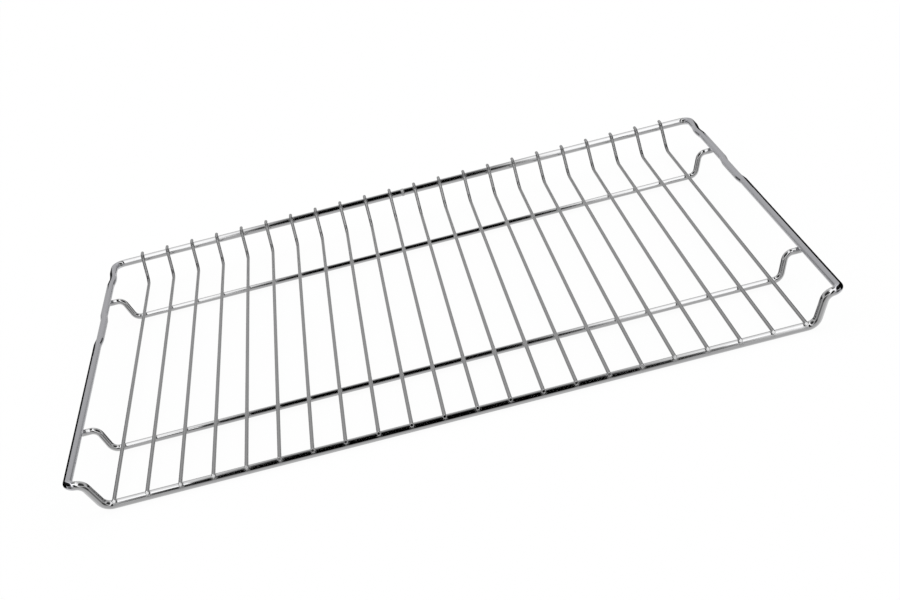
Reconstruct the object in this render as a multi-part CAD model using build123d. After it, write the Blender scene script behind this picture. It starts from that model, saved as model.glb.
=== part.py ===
from build123d import *
import os
from math import atan2, degrees, hypot, radians, tan

# Oven rack: a wire shelf that slides into a built-in oven.
#
# The perimeter frame is one length of round wire, bent into a closed ring and butt-welded in the
# middle of its rear bar. Its side rails and rear bar stand high and its front bar lies low, between
# two S-bends. Two stringers cross below the grid with the same S-bends, and end under the side
# rails. The thin grid wires lie on the front bar and the stringers, turn up in front of the rear
# bar, curl over it and end just behind it. Every crossing is a resistance weld.
#
# Frame: X to the right, Y from the front to the back, Z up. The origin is in the middle of the
# rack's outline, on the surface that the rack stands on. Sizes are in millimetres, angles in
# degrees.

# Wires
FRAME_D = 5.2
STRINGER_D = 4.0
GRID_D = 2.3
WELD_SINK = 0.3  # how far the welds have pressed each pair of wires into one another

# Grid
GRID_COUNT = 22
GRID_PITCH = 19.3
GRID_FRONT_OVERHANG = 3.7  # from the front bar's centre to the ends of the grid wires
GRID_REAR_OVERHANG = 3.0  # from the rear bar's centre to the ends of the grid wires
GRID_RISE_ANGLE = 73.0  # slope of the grid wires where they climb to the rear bar
GRID_RISE_RADIUS = 7.0
GRID_END_CHAMFER = 0.25

# Frame
FRAME_DEPTH = 365.1  # from the front bar's centre to the rear bar's
RAIL_RISE = 20.2  # from the front bar's centre up to the side rails'
FRONT_LEAN = 5.2  # how far the front corners stand forward of the front bar
FRONT_BEND_GAP = 0.2  # from the outer grid wire's side to the start of the S-bend
FRONT_LOWER_RADIUS = 7.0
FRONT_SLOPE_RUN = 7.2
FRONT_UPPER_RADIUS = 6.5
FRONT_SHOULDER = 0.15  # spare length between the S-bend and the front corner
FRONT_SHOULDER_RISE = 1.4  # from the top of the S-bend up to the front corner
FRONT_CORNER_RADIUS = 4.0
REAR_CORNER_RADIUS = 7.5

# Stops pressed into the side rails, placed from the rear bar's centre
NOTCH_DEPTH = 1.0
NOTCH_RAMP = 10.5
NOTCH_RADIUS = 25.0
REAR_NOTCH_PLACE = 32.5
REAR_NOTCH_FLAT = 5.5
LONG_NOTCH_PLACE = 133.8
LONG_NOTCH_FLAT = 35.0

# Butt weld that closes the frame
BEAD_WIDTH = 2.6
BEAD_HEIGHT = 0.3

# Stringers
FRONT_STRINGER_PLACE = 73.8  # behind the front bar's centre
REAR_STRINGER_PLACE = 70.6  # in front of the rear bar's centre
STRINGER_BEND_GAP = 1.35  # from the outer grid wire's side to the start of the S-bend
STRINGER_BEND_RADIUS = 6.0
STRINGER_SLOPE_RUN = 6.0

# Heights of the centre lines
CROSSING = (GRID_D + FRAME_D) / 2 - WELD_SINK
FRONT_BAR_Z = FRAME_D / 2
RAIL_Z = FRONT_BAR_Z + RAIL_RISE
GRID_Z = FRONT_BAR_Z + CROSSING
GRID_TOP_Z = RAIL_Z + CROSSING
STRINGER_Z = GRID_Z - (GRID_D + STRINGER_D) / 2 + WELD_SINK
STRINGER_END_Z = RAIL_Z - (FRAME_D + STRINGER_D) / 2 + WELD_SINK

# Places of the centre lines, front to back
FRONT_BAR_Y = (FRONT_LEAN + FRAME_D / 2 - FRAME_DEPTH - GRID_REAR_OVERHANG) / 2
REAR_BAR_Y = FRONT_BAR_Y + FRAME_DEPTH
FRONT_STRINGER_Y = FRONT_BAR_Y + FRONT_STRINGER_PLACE
REAR_STRINGER_Y = REAR_BAR_Y - REAR_STRINGER_PLACE


def setback(radius, turn):
    """Return the distance from a corner to the start of the arc that rounds it."""
    return radius * tan(radians(turn) / 2)


# Places from side to side, worked outwards from the grid to the side rails
GRID_SIDE = (GRID_COUNT - 1) / 2 * GRID_PITCH + GRID_D / 2
FRONT_TURN = degrees(atan2(hypot(FRONT_LEAN, RAIL_RISE - FRONT_SHOULDER_RISE), FRONT_SLOPE_RUN))
FRONT_FOOT_X = GRID_SIDE + FRONT_BEND_GAP + setback(FRONT_LOWER_RADIUS, FRONT_TURN)
FRONT_TOP_X = FRONT_FOOT_X + FRONT_SLOPE_RUN
RAIL_X = FRONT_TOP_X + setback(FRONT_UPPER_RADIUS, FRONT_TURN) + FRONT_SHOULDER + FRONT_CORNER_RADIUS
STRINGER_TURN = degrees(atan2(STRINGER_END_Z - STRINGER_Z, STRINGER_SLOPE_RUN))
STRINGER_FOOT_X = GRID_SIDE + STRINGER_BEND_GAP + setback(STRINGER_BEND_RADIUS, STRINGER_TURN)
STRINGER_TOP_X = STRINGER_FOOT_X + STRINGER_SLOPE_RUN


def bent_wire(points, radii, diameter):
    """Return a round wire along straight runs, with an arc of the given radius at each corner."""
    path = FilletPolyline(*points, radius=radii)
    return sweep(Plane(origin=path @ 0, z_dir=path % 0) * Circle(diameter / 2), path=path)


def both_sides(half):
    """Return one solid made of a half that starts at X = 0 and its mirror image."""
    return half + mirror(half, about=Plane.YZ)


def crossing_bar(y, z, diameter):
    """Return a bar along X that a grid wire at X = 0 rests on."""
    return Pos(0, y, z) * Rot(0, 90, 0) * Cylinder(diameter / 2, 4 * GRID_D)


def notch(place, flat):
    """Return the corner points of one stop in the right rail, front to back."""
    middle = REAR_BAR_Y - place
    inner = RAIL_X - NOTCH_DEPTH
    return [
        (RAIL_X, middle - flat / 2 - NOTCH_RAMP, RAIL_Z),
        (inner, middle - flat / 2, RAIL_Z),
        (inner, middle + flat / 2, RAIL_Z),
        (RAIL_X, middle + flat / 2 + NOTCH_RAMP, RAIL_Z),
    ]


def butt_weld():
    """Return the low bead round the rear bar where the two ends of the frame's wire meet."""
    wire_r = FRAME_D / 2
    crown = ThreePointArc((-BEAD_WIDTH / 2, wire_r), (0, wire_r + BEAD_HEIGHT), (BEAD_WIDTH / 2, wire_r))
    sides = Polyline((BEAD_WIDTH / 2, wire_r), (BEAD_WIDTH / 2, 0), (-BEAD_WIDTH / 2, 0), (-BEAD_WIDTH / 2, wire_r))
    bead = revolve(make_face(crown + sides), axis=Axis.X)
    return Pos(0, REAR_BAR_Y, RAIL_Z) * bead


def perimeter_frame():
    """Return the closed outer frame: front bar, S-bends, side rails with their stops, rear bar."""
    front_y = FRONT_BAR_Y - FRONT_LEAN
    stops = notch(LONG_NOTCH_PLACE, LONG_NOTCH_FLAT) + notch(REAR_NOTCH_PLACE, REAR_NOTCH_FLAT)
    points = [
        (0, FRONT_BAR_Y, FRONT_BAR_Z),
        (FRONT_FOOT_X, FRONT_BAR_Y, FRONT_BAR_Z),
        (FRONT_TOP_X, front_y, RAIL_Z - FRONT_SHOULDER_RISE),
        (RAIL_X, front_y, RAIL_Z),
        *stops,
        (RAIL_X, REAR_BAR_Y, RAIL_Z),
        (0, REAR_BAR_Y, RAIL_Z),
    ]
    front_radii = [FRONT_LOWER_RADIUS, FRONT_UPPER_RADIUS, FRONT_CORNER_RADIUS]
    radii = front_radii + [NOTCH_RADIUS] * len(stops) + [REAR_CORNER_RADIUS]
    return both_sides(bent_wire(points, radii, FRAME_D)) + butt_weld()


def stringer(y):
    """Return a cross wire under the grid, its raised ends shaped to the side rails above them."""
    points = [
        (0, y, STRINGER_Z),
        (STRINGER_FOOT_X, y, STRINGER_Z),
        (STRINGER_TOP_X, y, STRINGER_END_Z),
        (RAIL_X, y, STRINGER_END_Z),
    ]
    radii = [STRINGER_BEND_RADIUS, STRINGER_BEND_RADIUS]
    rail = Pos(RAIL_X, y, RAIL_Z) * Rot(90, 0, 0) * Cylinder(FRAME_D / 2, 3 * STRINGER_D)
    return both_sides(bent_wire(points, radii, STRINGER_D) - rail)


def grid_wire():
    """Return the grid wire at X = 0, with a shallow saddle where it is welded to each bar."""
    curl_radius = CROSSING
    crest_y = REAR_BAR_Y - setback(curl_radius, GRID_RISE_ANGLE)
    foot_y = crest_y - (GRID_TOP_Z - GRID_Z) / tan(radians(GRID_RISE_ANGLE))
    points = [
        (0, FRONT_BAR_Y - GRID_FRONT_OVERHANG, GRID_Z),
        (0, foot_y, GRID_Z),
        (0, crest_y, GRID_TOP_Z),
        (0, REAR_BAR_Y + GRID_REAR_OVERHANG, GRID_TOP_Z),
    ]
    wire = bent_wire(points, [GRID_RISE_RADIUS, curl_radius], GRID_D)
    ends = wire.faces().sort_by(Axis.Y)
    wire = chamfer([ends[0].edges(), ends[-1].edges()], GRID_END_CHAMFER)
    saddles = [
        crossing_bar(FRONT_BAR_Y, FRONT_BAR_Z, FRAME_D),
        crossing_bar(FRONT_STRINGER_Y, STRINGER_Z, STRINGER_D),
        crossing_bar(REAR_STRINGER_Y, STRINGER_Z, STRINGER_D),
        crossing_bar(REAR_BAR_Y, RAIL_Z, FRAME_D),
    ]
    return wire - saddles


def grid():
    """Return the grid wires by name, numbered from the left."""
    wire = grid_wire()
    first = -(GRID_COUNT - 1) / 2
    return {f"grid_wire_{i + 1:02d}": Pos((first + i) * GRID_PITCH, 0, 0) * wire for i in range(GRID_COUNT)}


def main():
    """Write each piece of the rack to its own file."""
    pieces = {
        "perimeter_frame": perimeter_frame(),
        "front_stringer": stringer(FRONT_STRINGER_Y),
        "rear_stringer": stringer(REAR_STRINGER_Y),
        **grid(),
    }
    os.makedirs("parts", exist_ok=True)
    for name, piece in pieces.items():
        export_step(piece, f"parts/{name}.step")


if __name__ == "__main__":
    main()
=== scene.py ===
"""Looks of a chromed wire oven rack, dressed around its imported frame.

The rack is a bent perimeter frame, two stringers and a grid of thin wires. Every wire keeps its own
solid and gets a plated finish here, with the marks of drawing, handling and sliding. Two kinds of
small form that the solids leave out are modelled: the weld pools at the crossings and under the
rails, and the slanted faces with rounded rims where the grid wires were cut at the front. The studio
is a white floor and sky. What the chrome shows is a large light tent and a few cards beside the
rack, all seen by glossy rays alone, whose black and pale parts give bright plating its edges.
"""

import logging
from collections.abc import Sequence
from dataclasses import dataclass
from enum import Enum
from math import pi

import bmesh
import bpy
from mathutils import Matrix, Vector


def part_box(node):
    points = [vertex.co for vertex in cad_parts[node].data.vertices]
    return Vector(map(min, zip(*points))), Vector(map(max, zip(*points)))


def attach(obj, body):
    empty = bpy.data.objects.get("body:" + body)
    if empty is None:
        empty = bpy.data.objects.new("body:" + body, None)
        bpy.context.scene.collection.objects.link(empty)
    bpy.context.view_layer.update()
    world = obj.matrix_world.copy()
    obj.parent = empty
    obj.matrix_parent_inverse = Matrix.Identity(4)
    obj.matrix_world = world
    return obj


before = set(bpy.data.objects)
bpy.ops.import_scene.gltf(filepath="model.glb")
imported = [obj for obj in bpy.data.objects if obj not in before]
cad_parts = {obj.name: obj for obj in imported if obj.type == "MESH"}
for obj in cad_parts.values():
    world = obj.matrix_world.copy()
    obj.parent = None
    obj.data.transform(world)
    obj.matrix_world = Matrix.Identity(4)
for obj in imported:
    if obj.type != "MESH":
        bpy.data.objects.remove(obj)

LOG = logging.getLogger("oven_rack")
MM = 0.001
BODY = "root"
FULL_TURN = 360.0
WHITE = (1.0, 1.0, 1.0, 1.0)
RAMP_TOP = 2.0  # brightness that a white stop of a ramp stands for
LONE_PITCH = 2.0  # a pitch longer than the rack, for a weld with no next one

Socket = bpy.types.NodeSocket
Sockets = bpy.types.bpy_prop_collection
Triple = tuple[float, float, float]


class Run(Enum):
    """Way that a wire runs, as a stretch of its drawing marks along X, Y and Z."""

    ACROSS = (0.03, 1.0, 1.0)
    BACKWARD = (1.0, 0.03, 1.0)
    NO_WAY = (1.0, 1.0, 1.0)


class Graph:
    """Nodes and links of one material, world or node group."""

    def __init__(self, tree: bpy.types.NodeTree) -> None:
        """Start with an empty tree.

        Args:
            tree: The tree that the nodes go in.
        """
        self.tree = tree
        tree.nodes.clear()

    def add(self, kind: str, *sources: object, **settings: object) -> bpy.types.Node:
        """Add a node.

        Args:
            kind: Its type, without the leading ShaderNode.
            sources: What its first inputs get: a socket, a value, or None to leave one as it is.
            settings: Properties of the node, and inputs by name where no property has that name.

        Returns:
            The new node.
        """
        node = self.tree.nodes.new(f"ShaderNode{kind}")
        inputs = {}
        for key, value in settings.items():
            if hasattr(node, key):
                setattr(node, key, value)
            else:
                inputs[key.replace("_", " ")] = value
        for place, source in enumerate(sources):
            self.feed(node.inputs[place], source)
        for key, source in inputs.items():
            self.feed(node.inputs[key], source)
        return node

    def feed(self, socket: Socket, source: object) -> None:
        """Give a socket its value or its link.

        Args:
            socket: The input socket.
            source: An output socket, a value, or None.
        """
        if isinstance(source, Socket):
            self.tree.links.new(source, socket)
        elif source is not None:
            socket.default_value = source

    def math(self, operation: str, *sources: object, clamp: bool = False) -> Socket:
        """Return the result of a Math node."""
        return self.add("Math", *sources, operation=operation, use_clamp=clamp).outputs[0]

    def mix(self, share: object, low: object, high: object, kind: str = "FLOAT") -> Socket:
        """Return a mix from low to high by a share, as kind FLOAT or RGBA."""
        return self.add("Mix", share, data_type=kind, A=low, B=high).outputs["Result"]

    def ease(
        self, value: object, start: float, end: float, low: object = 0.0, high: object = 1.0
    ) -> Socket:
        """Return a smooth step from low to high while the value goes from start to end."""
        step = self.add("MapRange", value, start, end, low, high, interpolation_type="SMOOTHSTEP")
        return step.outputs["Result"]

    def cloud(self, place: Socket, scale: Socket, detail: float, roughness: float) -> Socket:
        """Return the level of a soft noise at a place, from 0 to 1."""
        node = self.add("TexNoise", place, None, scale, detail, roughness, noise_dimensions="3D")
        return node.outputs["Fac"]


class GroupKit:
    """Builds each shared node group once."""

    built: dict[str, bpy.types.NodeTree] = {}

    @classmethod
    def start(
        cls, name: str, inputs: dict[str, str], outputs: dict[str, str]
    ) -> tuple[Graph, Sockets, Sockets]:
        """Make a group with its sockets.

        Args:
            name: The group's name.
            inputs: Socket types by name, such as Float or Vector.
            outputs: The same for what it puts out.

        Returns:
            The group's graph, the sockets that it is given, and those that take its results.
        """
        tree = bpy.data.node_groups.new(name, "ShaderNodeTree")
        for way, sockets in (("INPUT", inputs), ("OUTPUT", outputs)):
            for title, kind in sockets.items():
                tree.interface.new_socket(title, in_out=way, socket_type=f"NodeSocket{kind}")
        graph = Graph(tree)
        given = tree.nodes.new("NodeGroupInput")
        result = tree.nodes.new("NodeGroupOutput")
        cls.built[name] = tree
        return graph, given.outputs, result.inputs

    @classmethod
    def place(cls, graph: Graph, name: str, **inputs: object) -> Sockets:
        """Put a group in a material.

        Args:
            graph: The material's graph.
            name: The group's name.
            inputs: Values or sockets by input name.

        Returns:
            What the group puts out, by name.
        """
        node = graph.tree.nodes.new("ShaderNodeGroup")
        node.node_tree = cls.built[name]
        for key, source in inputs.items():
            graph.feed(node.inputs[key.replace("_", " ")], source)
        return node.outputs


def build_drawing_marks() -> None:
    """Build the group for the fine lines that a drawing die leaves along a wire."""
    graph, given, result = GroupKit.start(
        "drawing_marks",
        {"Position": "Vector", "Stretch": "Vector", "Fineness": "Float"},
        {"Lines": "Float", "Bands": "Float"},
    )
    band_fineness = 0.3  # how fine the bands are, as a share of the lines
    place = graph.add("VectorMath", given["Position"], given["Stretch"], operation="MULTIPLY").outputs[0]
    lines = graph.cloud(place, given["Fineness"], detail=2.0, roughness=0.5)
    broad = graph.math("MULTIPLY", given["Fineness"], band_fineness)
    bands = graph.cloud(place, broad, detail=2.0, roughness=0.5)
    graph.feed(result["Lines"], lines)
    graph.feed(result["Bands"], bands)


def build_smudges() -> None:
    """Build the group for the faint film that handling and wiping leave on plating."""
    graph, given, result = GroupKit.start(
        "smudges", {"Position": "Vector", "Size": "Float", "Cover": "Float"}, {"Film": "Float"}
    )
    bare_edge = 0.85  # level of the noise where film begins when it covers nothing
    edge_drop = 0.6  # how far full cover lowers that level
    contrast = 4.0
    scale = graph.math("DIVIDE", 1.0, given["Size"])
    cloud = graph.cloud(given["Position"], scale, detail=4.0, roughness=0.6)
    edge = graph.math("SUBTRACT", bare_edge, graph.math("MULTIPLY", given["Cover"], edge_drop))
    above = graph.math("SUBTRACT", cloud, edge)
    graph.feed(result["Film"], graph.math("MULTIPLY", above, contrast, clamp=True))


def build_weld_dulling() -> None:
    """Build the group for the dull ring that plating keeps round each weld."""
    graph, given, result = GroupKit.start(
        "weld_dulling",
        {"Place": "Float", "Pitch": "Float", "First": "Float", "Reach": "Float"},
        {"Ring": "Float"},
    )
    moved = graph.math("ABSOLUTE", graph.math("SUBTRACT", given["Place"], given["First"]))
    half_pitch = graph.math("MULTIPLY", given["Pitch"], 0.5)
    share = graph.math("DIVIDE", graph.math("PINGPONG", moved, half_pitch), given["Reach"])
    graph.feed(result["Ring"], graph.ease(share, 1.0, 0.0))


def build_bar_bow() -> None:
    """Build the group for the slight bow that welding leaves in a bar, as a height."""
    names = ("Across", "Depth", "Front Lean", "Rear Lean", "Front Curve", "Rear Curve")
    graph, given, result = GroupKit.start("bar_bow", dict.fromkeys(names, "Float"), {"Height": "Float"})
    behind = graph.math("GREATER_THAN", given["Depth"], 0.0)
    lean = graph.mix(behind, given["Front Lean"], given["Rear Lean"])
    curve = graph.mix(behind, given["Front Curve"], given["Rear Curve"])
    bend = graph.math("MULTIPLY", curve, -0.5)
    slope = graph.math("MULTIPLY_ADD", given["Across"], bend, graph.math("MULTIPLY", lean, -1.0))
    graph.feed(result["Height"], graph.math("MULTIPLY", given["Across"], slope))


def new_material(name: str) -> tuple[bpy.types.Material, Graph]:
    """Start a material.

    Args:
        name: Its name.

    Returns:
        The material and its empty graph.
    """
    material = bpy.data.materials.new(name)
    material.use_nodes = True
    return material, Graph(material.node_tree)


def new_piece(name: str, bm: bmesh.types.BMesh, material: bpy.types.Material) -> bpy.types.Object:
    """Turn a finished bmesh into an object at the world's origin.

    Args:
        name: The object's name.
        bm: Its shape, which is freed.
        material: What it is made of.

    Returns:
        The new object.
    """
    mesh = bpy.data.meshes.new(name)
    bm.to_mesh(mesh)
    bm.free()
    mesh.materials.append(material)
    piece = bpy.data.objects.new(name, mesh)
    bpy.context.scene.collection.objects.link(piece)
    return piece


def show_in_chrome_only(piece: bpy.types.Object) -> None:
    """Hide a piece from every ray but the glossy ones."""
    for ray in ("camera", "diffuse", "transmission", "shadow"):
        setattr(piece, f"visible_{ray}", False)


@dataclass(frozen=True)
class Bow:
    """How far a bar is from straight.

    Attributes:
        lean: Turn of its surface at the middle, in radians, towards positive X.
        curve: Change of that turn along X, per metre.
    """

    lean: float
    curve: float


@dataclass(frozen=True)
class RackPlan:
    """Places on the rack that the finishes and welds follow, in metres.

    Attributes:
        count: Number of grid wires.
        pitch: Distance between them.
        front_bar: Centre of the front bar, as Y and Z.
        rear_bar: Centre of the rear bar, as Y and Z.
        frame_radius: Radius of the frame's wire.
        stringer_radius: Radius of a stringer's wire.
        grid_radius: Radius of a grid wire.
        rail: Centre of the right rail, as X.
        sink: How far the welds press two wires together.
    """

    count: int = 22
    pitch: float = 19.3 * MM
    front_bar: tuple[float, float] = (-180.15 * MM, 2.6 * MM)
    rear_bar: tuple[float, float] = (184.95 * MM, 22.8 * MM)
    frame_radius: float = 2.6 * MM
    stringer_radius: float = 2.0 * MM
    grid_radius: float = 1.15 * MM
    rail: float = 224.757 * MM
    sink: float = 0.3 * MM

    def wire_places(self) -> list[float]:
        """Return each grid wire's X."""
        return [(i - (self.count - 1) / 2) * self.pitch for i in range(self.count)]

    def stringers(self) -> list[tuple[str, float, float, float]]:
        """Find the stringers in the frame.

        Returns:
            Each stringer's name, its Y, and the Z of its low and its raised centre line.
        """
        raised = self.rear_bar[1] - self.frame_radius - self.stringer_radius + self.sink
        found = []
        for name in ("front_stringer", "rear_stringer"):
            low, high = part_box(name)
            found.append((name, (low[1] + high[1]) / 2, low[2] + self.stringer_radius, raised))
        return found


@dataclass(frozen=True)
class PlatedWire:
    """Bright plating on drawn steel wire.

    Attributes:
        name: Name of the finish.
        color: Colour of clean plating.
        film_color: Colour where a film of handling lies on it.
        roughness: Roughness of clean plating.
        film_roughness: Roughness added by the film.
        film_share: Share of the film's colour where the film is whole.
        film_size: Size of the film's patches, in metres.
        film_cover: How much the film covers, from 0 to 1.
        weld_roughness: Roughness added next to a weld.
        weld_reach: How far that reaches along the wire, in metres.
        relief: Height of the drawing marks, in metres.
        fineness: Number of drawing marks in a metre, roughly.
        tone_edge: Level of the broad bands above which the plating's tone changes.
        tone_gain: How fast it changes above that level.
        tone_share: Share of the film's colour at the full change of tone.
        tone_roughness: Roughness added there.
    """

    name: str
    color: Triple = (0.72, 0.72, 0.725)
    film_color: Triple = (0.60, 0.60, 0.615)
    roughness: float = 0.06
    film_roughness: float = 0.05
    film_share: float = 0.8
    film_size: float = 0.05
    film_cover: float = 0.35
    weld_roughness: float = 0.12
    weld_reach: float = 2.8 * MM
    relief: float = 0.003 * MM
    fineness: float = 900.0
    tone_edge: float = 0.35
    tone_gain: float = 1.2
    tone_share: float = 0.35
    tone_roughness: float = 0.03

    def start(self) -> tuple[bpy.types.Material, Graph, Socket, list[Socket]]:
        """Start the finish's material.

        Returns:
            The material, its graph, the Object position and that position's X, Y and Z.
        """
        material, graph = new_material(self.name)
        position = graph.add("TexCoord").outputs["Object"]
        return material, graph, position, list(graph.add("SeparateXYZ", position).outputs)

    def marks(self, graph: Graph, position: Socket, run: Run) -> tuple[Socket, Socket]:
        """Place the drawing marks.

        Args:
            graph: The material's graph.
            position: Place on the wire.
            run: Way that the wire runs.

        Returns:
            Slow change of tone along the wire, and height of the marks.
        """
        put = GroupKit.place(
            graph, "drawing_marks", Position=position, Stretch=run.value, Fineness=self.fineness
        )
        return put["Bands"], put["Lines"]

    def film(self, graph: Graph, position: Socket) -> Socket:
        """Return the share of film at a place on the wire."""
        put = GroupKit.place(graph, "smudges", Position=position, Size=self.film_size, Cover=self.film_cover)
        return put["Film"]

    def ring(self, graph: Graph, place: Socket, pitch: float, first: float) -> Socket:
        """Return the share of dulling next to welds that lie a pitch apart, on from the first."""
        put = GroupKit.place(
            graph, "weld_dulling", Place=place, Pitch=pitch, First=first, Reach=self.weld_reach
        )
        return put["Ring"]

    def bow(self, graph: Graph, axes: Sequence[Socket], front: Bow, rear: Bow) -> Socket:
        """Place the bow of a pair of bars.

        Args:
            graph: The material's graph.
            axes: The Object position's X, Y and Z.
            front: Bow of the front bar.
            rear: Bow of the rear bar.

        Returns:
            Height of the bow.
        """
        leans = {"Front_Lean": front.lean, "Rear_Lean": rear.lean}
        curves = {"Front_Curve": front.curve, "Rear_Curve": rear.curve}
        return GroupKit.place(graph, "bar_bow", Across=axes[0], Depth=axes[1], **leans, **curves)["Height"]

    def finish(
        self,
        graph: Graph,
        marks: tuple[Socket, Socket],
        film: Socket,
        dull: object,
        bow: object = 0.0,
        clean: object = None,
    ) -> None:
        """Join the marks into one shader.

        Args:
            graph: The material's graph.
            marks: Slow change of tone along the wire, and height of the drawing marks.
            film: Share of film.
            dull: Share of dulling next to welds.
            bow: Height of the bar's bow, in metres.
            clean: Colour of clean plating where it isn't the same all over.
        """
        tone = graph.math("SUBTRACT", marks[0], self.tone_edge, clamp=True)
        tone = graph.math("MULTIPLY", tone, self.tone_gain, clamp=True)
        filmed = graph.math("MULTIPLY", film, self.film_share)
        share = graph.math("MAXIMUM", filmed, graph.math("MULTIPLY", tone, self.tone_share))
        if clean is None:
            clean = (*self.color, 1.0)
        color = graph.mix(share, clean, (*self.film_color, 1.0), "RGBA")
        rough = graph.math("MULTIPLY_ADD", film, self.film_roughness, self.roughness)
        rough = graph.math("MULTIPLY_ADD", dull, self.weld_roughness, rough)
        rough = graph.math("MULTIPLY_ADD", tone, self.tone_roughness, rough)
        height = graph.math("MULTIPLY_ADD", marks[1], self.relief, bow)
        normal = graph.add("Bump", Distance=1.0, Height=height).outputs["Normal"]
        shader = graph.add("BsdfPrincipled", Metallic=1.0, Base_Color=color, Roughness=rough, Normal=normal)
        graph.add("OutputMaterial", shader.outputs["BSDF"])


@dataclass(frozen=True)
class GridFinish(PlatedWire):
    """Plating on a grid wire, dulled where it crosses the bars."""

    name: str = "grid_plating"
    color: Triple = (0.50, 0.50, 0.503)
    film_color: Triple = (0.47, 0.47, 0.475)
    roughness: float = 0.16
    film_size: float = 0.03
    film_cover: float = 0.45
    weld_reach: float = 3.5 * MM
    fineness: float = 1400.0

    def build(self, plan: RackPlan) -> bpy.types.Material:
        """Build the finish.

        Args:
            plan: Places of the crossings.

        Returns:
            The finish's material.
        """
        material, graph, position, axes = self.start()
        along = graph.add("CombineXYZ", axes[0], graph.math("ADD", axes[1], axes[2]), 0.0)
        marks = self.marks(graph, along.outputs["Vector"], Run.BACKWARD)
        dull = 0.0
        for bar in (plan.front_bar[0], *[y for _, y, _, _ in plan.stringers()], plan.rear_bar[0]):
            dull = graph.math("MAXIMUM", dull, self.ring(graph, axes[1], LONE_PITCH, bar))
        self.finish(graph, marks, self.film(graph, position), dull)
        return material


@dataclass(frozen=True)
class CrossFinish(PlatedWire):
    """Plating on a stringer, dulled next to each grid wire.

    Attributes:
        front_bow: Bow of the front stringer.
        rear_bow: Bow of the rear one.
    """

    name: str = "stringer_plating"
    film_size: float = 0.04
    weld_reach: float = 2.6 * MM
    fineness: float = 1100.0
    front_bow: Bow = Bow(lean=0.0150, curve=-0.075)
    rear_bow: Bow = Bow(lean=-0.0012, curve=0.023)

    def build(self, plan: RackPlan) -> bpy.types.Material:
        """Build the finish.

        Args:
            plan: Places of the crossings.

        Returns:
            The finish's material.
        """
        material, graph, position, axes = self.start()
        marks = self.marks(graph, position, Run.ACROSS)
        ring = self.ring(graph, axes[0], plan.pitch, plan.pitch / 2)
        bow = self.bow(graph, axes, self.front_bow, self.rear_bow)
        self.finish(graph, marks, self.film(graph, position), ring, bow)
        return material


@dataclass(frozen=True)
class FrameFinish(PlatedWire):
    """Plating on the perimeter frame, rubbed along the rails and matt at the butt weld.

    Attributes:
        front_bow: Bow of the front bar.
        rear_bow: Bow of the rear bar.
        rail_color: Colour of the side rails.
        rail_wear: Roughness that sliding adds along the side rails.
        rail_begin: How far inside a rail's centre its finish begins.
        rail_full: How far inside it the finish is whole.
        butt_roughness: Roughness that the butt weld's grinding adds.
        butt_reach: Half the width of the ground place.
        butt_core: Half the width of its even middle.
        butt_depth: How far in front of the rear bar's centre it may reach.
    """

    name: str = "frame_plating"
    front_bow: Bow = Bow(lean=0.0037, curve=-0.204)
    rear_bow: Bow = Bow(lean=0.0068, curve=0.125)
    rail_color: Triple = (0.69, 0.69, 0.725)
    rail_wear: float = 0.07
    rail_begin: float = 4.5 * MM
    rail_full: float = 3.0 * MM
    butt_roughness: float = 0.40
    butt_reach: float = 1.4 * MM
    butt_core: float = 0.84 * MM
    butt_depth: float = 10.4 * MM

    def build(self, plan: RackPlan) -> bpy.types.Material:
        """Build the finish.

        Args:
            plan: Places of the crossings and rails.

        Returns:
            The finish's material.
        """
        material, graph, position, axes = self.start()
        aside = graph.math("ABSOLUTE", axes[0])
        rail = graph.ease(aside, plan.rail - self.rail_begin, plan.rail - self.rail_full)
        across = self.marks(graph, position, Run.ACROSS)
        along = self.marks(graph, position, Run.BACKWARD)
        marks = tuple(graph.mix(rail, *pair) for pair in zip(across, along))
        ring = self.ring(graph, axes[0], plan.pitch, plan.pitch / 2)
        dull = graph.math("MULTIPLY", ring, graph.math("SUBTRACT", 1.0, rail))
        dull = graph.math("MULTIPLY_ADD", rail, self.rail_wear / self.weld_roughness, dull)
        behind = graph.math("GREATER_THAN", axes[1], plan.rear_bar[0] - self.butt_depth)
        butt = graph.math("MULTIPLY", graph.ease(aside, self.butt_reach, self.butt_core), behind)
        dull = graph.math("MULTIPLY_ADD", butt, self.butt_roughness / self.weld_roughness, dull)
        clean = graph.mix(rail, (*self.color, 1.0), (*self.rail_color, 1.0), "RGBA")
        bow = self.bow(graph, axes, self.front_bow, self.rear_bow)
        self.finish(graph, marks, self.film(graph, position), dull, bow, clean)
        return material


@dataclass(frozen=True)
class WeldFinish(PlatedWire):
    """Plating over weld metal, softer and a little uneven.

    Attributes:
        dull: Share of a weld's dulling all over it.
    """

    name: str = "weld_plating"
    roughness: float = 0.15
    film_size: float = 0.006
    film_cover: float = 0.5
    relief: float = 0.02 * MM
    fineness: float = 1600.0
    dull: float = 0.3

    def build(self) -> bpy.types.Material:
        """Build the finish.

        Returns:
            The finish's material.
        """
        material, graph, position, _ = self.start()
        marks = self.marks(graph, position, Run.NO_WAY)
        self.finish(graph, marks, self.film(graph, position), self.dull)
        return material


@dataclass(frozen=True)
class EndGlintFinish(WeldFinish):
    """Plating on the cut front ends of the grid wires, lightened nearly to white as a painted highlight for
    the glints at their tips.
    """

    name: str = "end_plating_painted_highlight"
    # near-white colour here is a painted highlight standing in for the glints on the cut ends
    color: Triple = (0.95, 0.95, 0.955)
    film_color: Triple = (0.88, 0.88, 0.885)
    roughness: float = 0.06
    relief: float = 0.003 * MM


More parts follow.
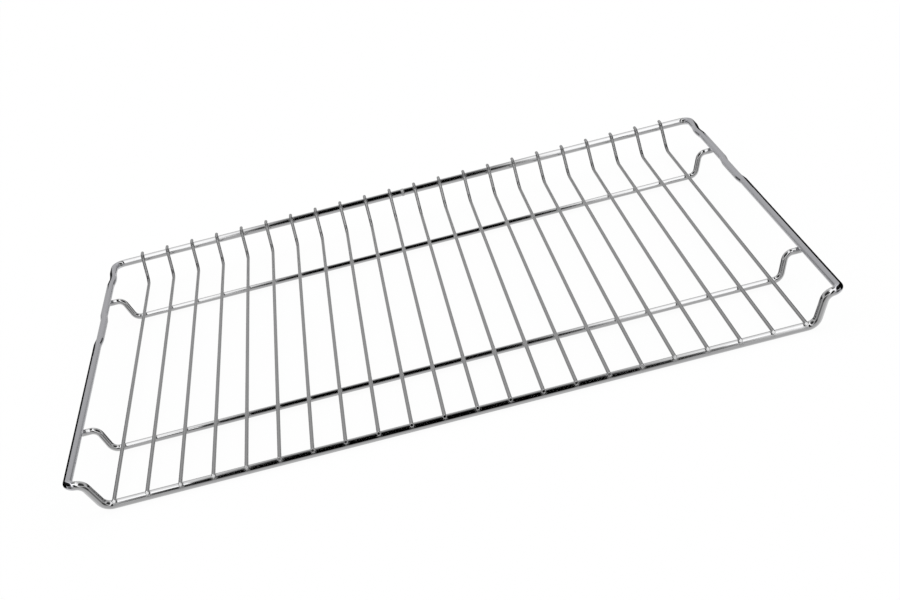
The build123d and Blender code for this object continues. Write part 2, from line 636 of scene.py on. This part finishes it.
@dataclass
class WeldRow:
    """A row of weld pools, each squeezed out between two crossed wires.

    Attributes:
        name: The piece's name.
        centres: Where each pool lies.
        size: Half sizes of a pool along X, Y and Z.
        segments: Sides of a pool, seen from above.
        rings: Steps from its top to its bottom.
    """

    name: str
    centres: Sequence[Triple]
    size: Triple
    segments: int = 20
    rings: int = 10

    def build(self, material: bpy.types.Material) -> bpy.types.Object:
        """Model the row as one piece.

        Args:
            material: Its finish.

        Returns:
            The piece's object.
        """
        bm = bmesh.new()
        for centre in self.centres:
            bmesh.ops.create_uvsphere(
                bm,
                u_segments=self.segments,
                v_segments=self.rings,
                radius=1.0,
                matrix=Matrix.Translation(Vector(centre)) @ Matrix.Diagonal((*self.size, 1.0)),
            )
        bmesh.ops.recalc_face_normals(bm, faces=bm.faces)
        for face in bm.faces:
            face.smooth = True
        piece = new_piece(self.name, bm, material)
        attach(piece, BODY)
        LOG.info("%s: %d weld pools", self.name, len(self.centres))
        return piece


@dataclass
class CutEnds:
    """The front ends of the grid wires, cut at a slant, with a rounded rim.

    Attributes:
        slant: How far a cut face looks up, in radians.
        standoff: Distance from a wire's own end to the middle of its cut face.
        depth: Thickness of the end.
        rim: Radius of the rounded rim.
        inset: How much smaller the end's radius is than its wire's.
        segments: Sides of the circle.
        rim_segments: Steps across the rim.
        tolerance: How near to the plane of the cut faces an edge lies in it.
    """

    slant: float = 0.27
    standoff: float = 0.29 * MM
    depth: float = 0.6 * MM
    rim: float = 0.28 * MM
    inset: float = 0.02 * MM
    segments: int = 24
    rim_segments: int = 4
    tolerance: float = 0.001 * MM

    def build(self, plan: RackPlan, material: bpy.types.Material) -> bpy.types.Object:
        """Model all the ends as one piece.

        Args:
            plan: Places of the wires.
            material: Their finish.

        Returns:
            The piece's object.
        """
        low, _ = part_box("grid_wire_01")
        face = Vector((0.0, low[1] - self.standoff, low[2] + plan.grid_radius))
        turn = Matrix.Rotation(pi / 2 - self.slant, 4, "X")
        behind_face = turn @ Matrix.Translation((0.0, 0.0, -self.depth / 2))
        radius = plan.grid_radius - self.inset
        bm = bmesh.new()
        for x in plan.wire_places():
            bmesh.ops.create_cone(
                bm,
                cap_ends=True,
                segments=self.segments,
                radius1=radius,
                radius2=radius,
                depth=self.depth,
                matrix=Matrix.Translation(face + Vector((x, 0.0, 0.0))) @ behind_face,
            )
        outward = turn @ Vector((0.0, 0.0, 1.0))
        bmesh.ops.bevel(
            bm,
            geom=[edge for edge in bm.edges if self.on_face(edge, face, outward)],
            affect="EDGES",
            offset=self.rim,
            segments=self.rim_segments,
            profile=0.5,
            material=-1,
        )
        for side in bm.faces:
            side.smooth = len(side.verts) < self.segments
        piece = new_piece("grid_wire_ends", bm, material)
        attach(piece, BODY)
        LOG.info("grid_wire_ends: %d cut ends", plan.count)
        return piece

    def on_face(self, edge: bmesh.types.BMEdge, face: Vector, outward: Vector) -> bool:
        """Return whether an edge lies in the plane of the cut faces."""
        return all(abs((vert.co - face).dot(outward)) < self.tolerance for vert in edge.verts)


@dataclass
class Rack:
    """The rack's own pieces.

    Attributes:
        plan: Places on the rack.
        grid_pool: Half sizes of a weld pool under a grid wire, along X, Y and Z.
        rail_pool: The same for a pool between a stringer's end and its rail.
        rear_shift: How far the rear bar's pools lie in front of its centre.
        rail_shift: How far the rails' pools lie inside their centres.
    """

    plan: RackPlan
    grid_pool: Triple = (1.25 * MM, 1.5 * MM, 0.42 * MM)
    rail_pool: Triple = (1.6 * MM, 2.3 * MM, 0.8 * MM)
    rear_shift: float = 0.3 * MM
    rail_shift: float = 0.2 * MM

    def dress(self) -> None:
        """Give every solid its finish."""
        finishes = {"perimeter": FrameFinish().build(self.plan), "grid": GridFinish().build(self.plan)}
        stringer = CrossFinish().build(self.plan)
        for name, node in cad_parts.items():
            finish = finishes.get(name.split("_")[0], stringer)
            node.data.materials.clear()
            node.data.materials.append(finish)
            LOG.info("%s: %s", name, finish.name)

    def weld(self) -> None:
        """Add the weld pools at every crossing and under the rails."""
        plan, metal = self.plan, WeldFinish().build()
        top = plan.frame_radius - plan.sink / 2
        for name, (y, z), shift in (
            ("front_bar_welds", plan.front_bar, 0.0),
            ("rear_bar_welds", plan.rear_bar, self.rear_shift),
        ):
            centres = [(x, y - shift, z + top) for x in plan.wire_places()]
            WeldRow(name, centres, self.grid_pool).build(metal)
        top = plan.stringer_radius - plan.sink / 2
        for name, y, low, raised in plan.stringers():
            centres = [(x, y, low + top) for x in plan.wire_places()]
            WeldRow(f"{name}_welds", centres, self.grid_pool).build(metal)
            ends = [(side * (plan.rail - self.rail_shift), y, raised + top) for side in (-1, 1)]
            WeldRow(f"{name}_rail_welds", ends, self.rail_pool).build(metal)


@dataclass
class PhotoCamera:
    """Camera at the photograph's viewpoint.

    Attributes:
        place: Where the camera stands, in metres.
        yaw: Turn to the right of straight ahead, in radians.
        pitch: Turn down from the horizon, in radians.
        roll: Clockwise turn about the line of sight, in radians.
        focal_px: Focal length in pixels of the image.
        image_width: Width of the image in pixels.
        sensor_mm: Sensor width in millimetres.
        nearest: Distance at which the view begins, in metres.
        farthest: Distance at which it ends.
    """

    place: Triple = (-5.092 * MM, -1079.873 * MM, 429.098 * MM)
    yaw: float = 0.016
    pitch: float = 0.37724
    roll: float = 0.2444
    focal_px: float = 1744.017
    image_width: int = 900
    sensor_mm: float = 36.0
    nearest: float = 0.01
    farthest: float = 50.0

    def build(self) -> bpy.types.Object:
        """Add the camera to the scene.

        Returns:
            The camera's object.
        """
        data = bpy.data.cameras.new("photo_camera")
        data.sensor_width = self.sensor_mm
        data.lens = self.focal_px / self.image_width * self.sensor_mm
        data.clip_start = self.nearest
        data.clip_end = self.farthest
        camera = bpy.data.objects.new("photo_camera", data)
        bpy.context.scene.collection.objects.link(camera)
        turn = (
            Matrix.Rotation(-self.yaw, 4, "Z")
            @ Matrix.Rotation(pi / 2 - self.pitch, 4, "X")
            @ Matrix.Rotation(-self.roll, 4, "Z")
        )
        camera.matrix_world = Matrix.Translation(Vector(self.place)) @ turn
        bpy.context.scene.camera = camera
        LOG.info("photo_camera: lens of %.1f mm", data.lens)
        return camera


@dataclass(frozen=True)
class Cloth:
    """One cloth of the light tent, a strip that goes right round from the floor behind the rack.

    Attributes:
        near: Where the cloth begins, as the sideways share of a direction.
        full: Where it has taken over from the cloth before it.
        levels: Brightness by height in degrees: 0 behind the rack, 90 overhead, 180 in front.
    """

    near: float
    full: float
    levels: tuple[tuple[float, float], ...]


@dataclass(frozen=True)
class Card:
    """One card near the rack, with a twin on the other side.

    Attributes:
        name: What it is called.
        low: Its lowest, foremost and inmost corner on the right side, in metres.
        high: The opposite corner.
        level: Its brightness.
    """

    name: str
    low: Triple
    high: Triple
    level: float


@dataclass
class Studio:
    """White floor and sky, and the light tent that the chrome reflects.

    Attributes:
        floor_size: Width of the floor in metres.
        shadow: Share of the floor that takes a shadow.
        tent_radius: Radius of the light tent in metres.
        tent_segments: Sides of the tent, seen from above.
        tent_rings: Steps from its top to its bottom.
        cards: Black and white cards near the rack.
        flare: How much wider the middle cloth gets towards the camera, as a sideways share.
        flare_from: Height in degrees where it starts to get wider.
        flare_to: Height where it has its full width.
        cloths: The tent's cloths, from the middle outwards.
    """

    floor_size: float = 30.0
    shadow: float = 0.06
    tent_radius: float = 12.0
    tent_segments: int = 64
    tent_rings: int = 32
    cards: tuple[Card, ...] = (
        Card("rail_card", (0.2355, -0.190, 0.0165), (0.2360, 0.055, 0.038), 0.0),
        Card("rear_card", (0.2355, 0.165, 0.0165), (0.2360, 0.200, 0.038), 0.0),
        Card("corner_card", (0.2450, -0.240, 0.0330), (0.2455, -0.155, 0.125), 0.0),
        Card("shoulder_card", (0.1700, -0.280, 0.1200), (0.2500, -0.200, 0.1205), 1.4),
    )
    flare: float = 0.03
    flare_from: float = 100.0
    flare_to: float = 138.0
    cloths: tuple[Cloth, ...] = (
        Cloth(0.0, 0.0, (
            (-180, 0.0), (-170, 0.02), (-163, 0.33), (-152, 0.42), (-140, 0.5), (-120, 0.55), (-96, 0.62),
            (-62, 0.6), (-10, 0.7), (8, 0.8), (16, 0.53), (30, 0.5), (46, 0.47), (60, 0.42), (73, 0.16),
            (85, 0.05), (95, 0.012), (105, 0.0), (180, 0.0),
        )),
        Cloth(0.07, 0.125, (
            (-180, 0.7), (-170, 0.55), (-157, 0.5), (-120, 0.5), (-96, 0.6), (-62, 0.65), (-30, 0.8),
            (-10, 0.55), (0, 0.45), (22, 0.5), (40, 0.6), (46, 0.85), (69, 0.95), (89, 1.2), (107, 1.4),
            (150, 1.4), (160, 1.2), (172, 0.9), (180, 0.7),
        )),
        Cloth(0.22, 0.30, (
            (-180, 0.25), (-150, 0.25), (-140, 0.45), (-110, 0.6), (-60, 0.7), (-30, 0.6), (-10, 0.55),
            (0, 0.45), (22, 0.5), (40, 0.6), (60, 0.6), (95, 0.5), (106, 0.3), (118, 0.1), (135, 0.04),
            (156, 0.04), (162, 0.6), (172, 0.6), (178, 0.25),
        )),
        Cloth(0.40, 0.50, (
            (-180, 0.08), (-150, 0.04), (-142, 0.08), (-134, 0.25), (-126, 0.45), (-110, 0.65), (-60, 0.8),
            (-35, 0.5), (-24, 0.08), (-18, 0.0), (12, 0.0), (20, 0.3), (32, 0.65), (50, 0.5), (66, 0.4),
            (80, 0.2), (100, 0.08), (120, 0.02), (156, 0.02), (162, 0.6), (172, 0.6), (178, 0.08),
        )),
        Cloth(0.80, 0.88, (
            (-180, 0.42), (-150, 0.4), (-120, 0.38), (-75, 0.35), (-55, 0.15), (-25, 0.02), (30, 0.02),
            (50, 0.3), (77, 0.5), (100, 0.6), (117, 0.6), (150, 0.5), (170, 0.6),
        )),
    )

    def sky(self) -> None:
        """Give the world a white sky."""
        world = bpy.data.worlds.new("studio")
        bpy.context.scene.world = world
        world.use_nodes = True
        graph = Graph(world.node_tree)
        white = graph.add("Background", WHITE, 1.0)
        graph.add("OutputWorld", white.outputs["Background"])

    def floor(self) -> None:
        """Add the white floor, which keeps a trace of the rack's shadow."""
        material, graph = new_material("floor_white")
        path = graph.add("LightPath").outputs
        sharp = graph.math("MAXIMUM", path["Is Glossy Ray"], path["Is Transmission Ray"])
        glow = graph.add("Emission", WHITE, graph.math("MAXIMUM", path["Is Camera Ray"], sharp))
        matt = graph.add("BsdfDiffuse", WHITE)
        mix = graph.add("MixShader", self.shadow, glow.outputs["Emission"], matt.outputs["BSDF"])
        graph.add("OutputMaterial", mix.outputs["Shader"])
        bm = bmesh.new()
        bmesh.ops.create_grid(bm, x_segments=1, y_segments=1, size=self.floor_size / 2)
        floor = new_piece("floor", bm, material)
        floor.visible_glossy = False

    def tent(self) -> None:
        """Add the light tent, which only the chrome sees."""
        material, graph = new_material("tent_cloths")
        position = graph.add("TexCoord").outputs["Object"]
        direction = graph.add("VectorMath", position, operation="NORMALIZE").outputs[0]
        x, y, z = graph.add("SeparateXYZ", direction).outputs
        height = graph.math("MULTIPLY_ADD", graph.math("ARCTAN2", z, y), 0.5 / pi, 0.5)
        begin, end = self.turn_share(self.flare_from), self.turn_share(self.flare_to)
        widening = graph.ease(height, begin, end, 0.0, self.flare)
        aside = graph.math("SUBTRACT", graph.math("ABSOLUTE", x), widening)
        seen = self.ramp(graph, height, self.cloths[0].levels)
        for cloth in self.cloths[1:]:
            share = graph.ease(aside, cloth.near, cloth.full)
            seen = graph.mix(share, seen, self.ramp(graph, height, cloth.levels), "RGBA")
        glow = graph.add("Emission", seen, RAMP_TOP)
        graph.add("OutputMaterial", glow.outputs["Emission"])
        bm = bmesh.new()
        bmesh.ops.create_uvsphere(
            bm, u_segments=self.tent_segments, v_segments=self.tent_rings, radius=self.tent_radius
        )
        bmesh.ops.reverse_faces(bm, faces=bm.faces)
        tent = new_piece("light_tent", bm, material)
        show_in_chrome_only(tent)

    def stand_cards(self) -> None:
        """Stand the cards beside the rack, a pair of each, seen only in the chrome."""
        for card in self.cards:
            material, graph = new_material(card.name)
            glow = graph.add("Emission", WHITE, card.level)
            graph.add("OutputMaterial", glow.outputs["Emission"])
            low, high = Vector(card.low), Vector(card.high)
            for side, word in ((-1, "left"), (1, "right")):
                middle = (low + high) / 2
                middle.x *= side
                bm = bmesh.new()
                spread = Matrix.Translation(middle) @ Matrix.Diagonal((*(high - low), 1.0))
                bmesh.ops.create_cube(bm, size=1.0, matrix=spread)
                piece = new_piece(f"{card.name}_{word}", bm, material)
                show_in_chrome_only(piece)

    @staticmethod
    def turn_share(degrees: float) -> float:
        """Return where a height in degrees lies in the whole turn, from 0 to 1."""
        return degrees / FULL_TURN + 0.5

    def ramp(self, graph: Graph, height: Socket, levels: Sequence[tuple[float, float]]) -> Socket:
        """Add a grey ramp over the whole turn.

        Args:
            graph: The graph that it goes in.
            height: The height, from 0 to 1 for the whole turn.
            levels: Brightness by height in degrees.

        Returns:
            The ramp's colour, as a share of RAMP_TOP.
        """
        node = graph.add("ValToRGB", height)
        stops = node.color_ramp.elements
        stops.remove(stops[-1])
        for i, (degrees, level) in enumerate(levels):
            place = self.turn_share(degrees)
            stop = stops[0] if i == 0 else stops.new(place)
            stop.position = place
            grey = level / RAMP_TOP
            stop.color = (grey, grey, grey, 1.0)
        return node.outputs["Color"]

    def build(self) -> None:
        """Set up the whole studio."""
        bpy.context.scene.view_settings.view_transform = "Standard"
        self.sky()
        self.floor()
        self.tent()
        self.stand_cards()
        LOG.info("studio: white floor and sky, tent of %d cloths", len(self.cloths))


def main() -> None:
    """Build the camera and the studio, and dress the rack."""
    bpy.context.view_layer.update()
    PhotoCamera().build()
    Studio().build()
    for build in (build_drawing_marks, build_smudges, build_weld_dulling, build_bar_bow):
        build()
    rack = Rack(RackPlan())
    rack.dress()
    rack.weld()
    CutEnds().build(rack.plan, EndGlintFinish().build())


if __name__ == "__main__":
    logging.basicConfig(level=logging.INFO)
    main()
